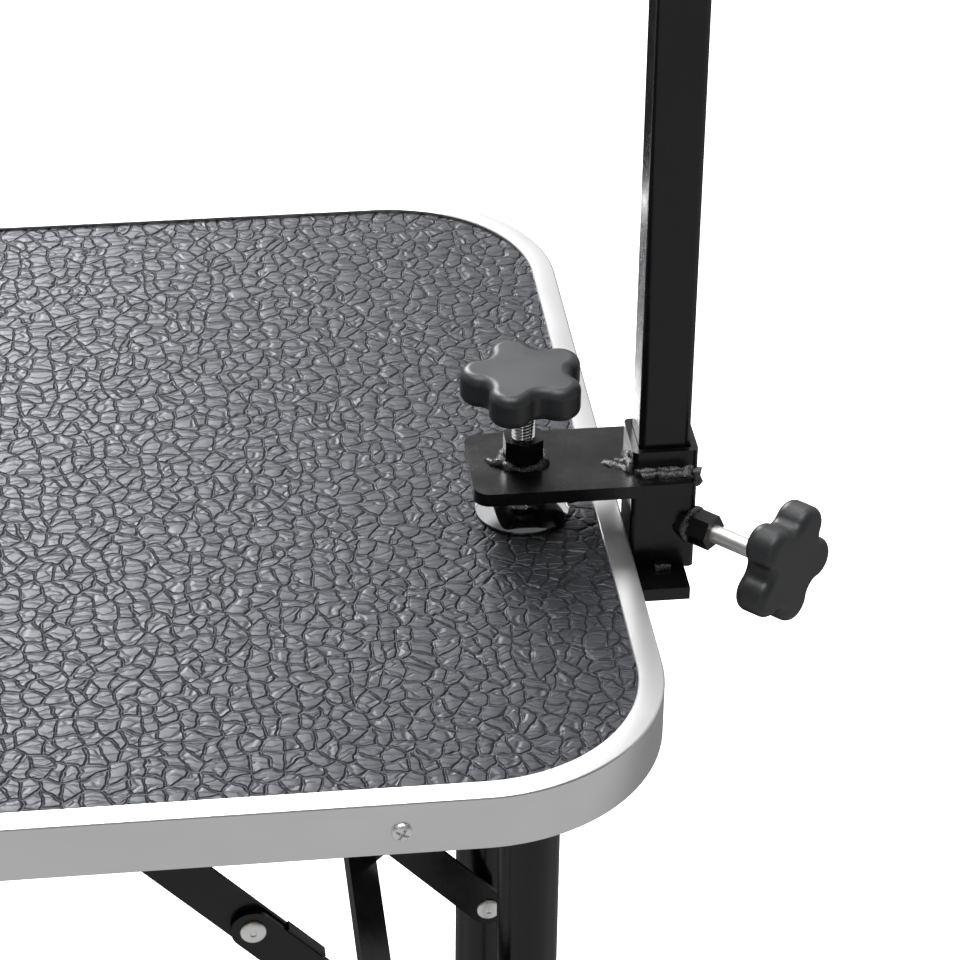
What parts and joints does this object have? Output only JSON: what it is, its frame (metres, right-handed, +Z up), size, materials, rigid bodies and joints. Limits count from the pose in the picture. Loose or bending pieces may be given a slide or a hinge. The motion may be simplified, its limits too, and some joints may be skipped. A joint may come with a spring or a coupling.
{
  "type": "folding grooming table",
  "caption": "Folding pet grooming table: pebbled rubber top in an aluminium rim, folding steel legs with locking braces, and a screw clamp that holds a square grooming arm.",
  "frame": {"origin": "on the floor, midway along and across the whole object: the table's centre is 43.7 mm towards -X because the clamp and its knob stand out past the table's end", "axes": "+X along the table towards the end that carries the arm, +Y to the back, +Z up"},
  "size_m": [0.8953, 0.4844, 1.68],
  "materials": {
    "plywood": "plain plywood, unvarnished",
    "mat_rubber": "pebbled non-slip rubber, satin",
    "satin_aluminium": "satin anodised",
    "black_powder_coat": "smooth semi-gloss powder coat",
    "zinc_plate": "bright zinc plate",
    "bright_zinc": "bright plated steel",
    "bright_chrome": "polished chrome plate",
    "knob_plastic": "fine matte moulding",
    "cap_plastic": "moulded",
    "plug_nylon": "natural nylon",
    "weld_metal": "painted weld bead",
    "foot_rubber": "moulded rubber"
  },
  "bodies": {
    "table_top": {"board": "plywood", "rubber_mat": "mat_rubber", "edge_trim": "satin_aluminium", "trim_screws": "zinc_plate", "bracket_screws": "zinc_plate", "right_leg_brackets": "black_powder_coat", "right_brace_brackets": "black_powder_coat", "right_table_rivets": "zinc_plate", "left_leg_brackets": "black_powder_coat", "left_brace_brackets": "black_powder_coat", "left_table_rivets": "zinc_plate"},
    "right_legs": {"right_leg_tube_front": "black_powder_coat", "right_leg_tube_back": "black_powder_coat", "right_pivot_tube": "black_powder_coat", "right_stretcher": "black_powder_coat", "right_feet": "foot_rubber", "right_leg_spacers": "zinc_plate", "right_leg_rivets": "zinc_plate"},
    "right_lower_braces": {"right_lower_link_front": "black_powder_coat", "right_lower_link_back": "black_powder_coat", "right_cross_bar": "black_powder_coat", "right_knee_rivets": "zinc_plate"},
    "right_upper_braces": {"right_upper_link_front": "black_powder_coat", "right_upper_link_back": "black_powder_coat", "right_knee_bushes": "zinc_plate"},
    "left_legs": {"left_leg_tube_front": "black_powder_coat", "left_leg_tube_back": "black_powder_coat", "left_pivot_tube": "black_powder_coat", "left_stretcher": "black_powder_coat", "left_feet": "foot_rubber", "left_leg_spacers": "zinc_plate", "left_leg_rivets": "zinc_plate"},
    "left_lower_braces": {"left_lower_link_front": "black_powder_coat", "left_lower_link_back": "black_powder_coat", "left_cross_bar": "black_powder_coat", "left_knee_rivets": "zinc_plate"},
    "left_upper_braces": {"left_upper_link_front": "black_powder_coat", "left_upper_link_back": "black_powder_coat", "left_knee_bushes": "zinc_plate"},
    "clamp": {"clamp_sleeve": "black_powder_coat", "upper_jaw": "black_powder_coat", "lower_jaw": "black_powder_coat", "jaw_nut": "black_powder_coat", "lock_nut": "black_powder_coat", "clamp_welds": "weld_metal"},
    "clamp_pad": {"pressure_pad": "bright_chrome"},
    "clamp_handscrew": {"clamp_screw": "bright_chrome", "clamp_knob": "knob_plastic"},
    "lock_tip": {"lock_plug": "plug_nylon"},
    "lock_handscrew": {"lock_screw": "bright_zinc", "lock_knob": "knob_plastic"},
    "arm": {"arm_post": "black_powder_coat", "arm_boom": "black_powder_coat", "boom_cap": "cap_plastic", "arm_hooks": "bright_chrome"}
  },
  "joints": [
    {"name": "right_leg_fold", "type": "hinge", "parent": "table_top", "child": "right_legs", "pos_m": [0.32015, 0, 0.727], "axis": [0, 1, 0], "range_deg": [0, 90]},
    {"name": "right_upper_brace_turn", "type": "hinge", "parent": "table_top", "child": "right_upper_braces", "pos_m": [0.08188, 0, 0.727], "axis": [0, -1, 0], "range_deg": [0, 47.2]},
    {"name": "right_lower_brace_turn", "type": "hinge", "parent": "right_legs", "child": "right_lower_braces", "pos_m": [0.32015, 0, 0.47415], "axis": [0, 1, 0], "range_deg": [0, 43.8]},
    {"name": "left_leg_fold", "type": "hinge", "parent": "table_top", "child": "left_legs", "pos_m": [-0.40765, 0, 0.6955], "axis": [0, -1, 0], "range_deg": [0, 90]},
    {"name": "left_upper_brace_turn", "type": "hinge", "parent": "table_top", "child": "left_upper_braces", "pos_m": [-0.16938, 0, 0.6955], "axis": [0, 1, 0], "range_deg": [0, 47.2]},
    {"name": "left_lower_brace_turn", "type": "hinge", "parent": "left_legs", "child": "left_lower_braces", "pos_m": [-0.40765, 0, 0.44265], "axis": [0, -1, 0], "range_deg": [0, 43.8]},
    {"name": "clamp_slide", "type": "slide", "parent": "table_top", "child": "clamp", "axis": [0, 1, 0], "range_m": [-0.022, 0.11]},
    {"name": "clamp_screw_travel", "type": "slide", "parent": "clamp", "child": "clamp_pad", "axis": [0, 0, 1], "range_m": [0, 0.009]},
    {"name": "clamp_screw_turn", "type": "hinge", "parent": "clamp_pad", "child": "clamp_handscrew", "pos_m": [0.31955, -0.042, 0.82], "axis": [0, 0, 1], "range_deg": [0, 2161]},
    {"name": "lock_screw_travel", "type": "slide", "parent": "clamp", "child": "lock_tip", "axis": [0.7071, -0.7071, 0], "range_m": [0, 0.006]},
    {"name": "lock_screw_turn", "type": "hinge", "parent": "lock_tip", "child": "lock_handscrew", "pos_m": [0.40653, -0.07228, 0.7758], "axis": [0.7071, -0.7071, 0], "range_deg": [0, 1729]},
    {"name": "arm_height", "type": "slide", "parent": "clamp", "child": "arm", "axis": [0, 0, 1], "range_m": [0, 0.02]}
  ],
  "couplings": [
    {"joint": "right_upper_brace_turn", "follows": "right_leg_fold", "ratio": 0.51889},
    {"joint": "right_lower_brace_turn", "follows": "right_leg_fold", "ratio": 0.48111},
    {"joint": "left_upper_brace_turn", "follows": "left_leg_fold", "ratio": 0.51889},
    {"joint": "left_lower_brace_turn", "follows": "left_leg_fold", "ratio": 0.48111},
    {"joint": "clamp_screw_turn", "follows": "clamp_screw_travel", "rad_per_m": 4188.8},
    {"joint": "lock_screw_turn", "follows": "lock_screw_travel", "rad_per_m": 5026.5}
  ]
}
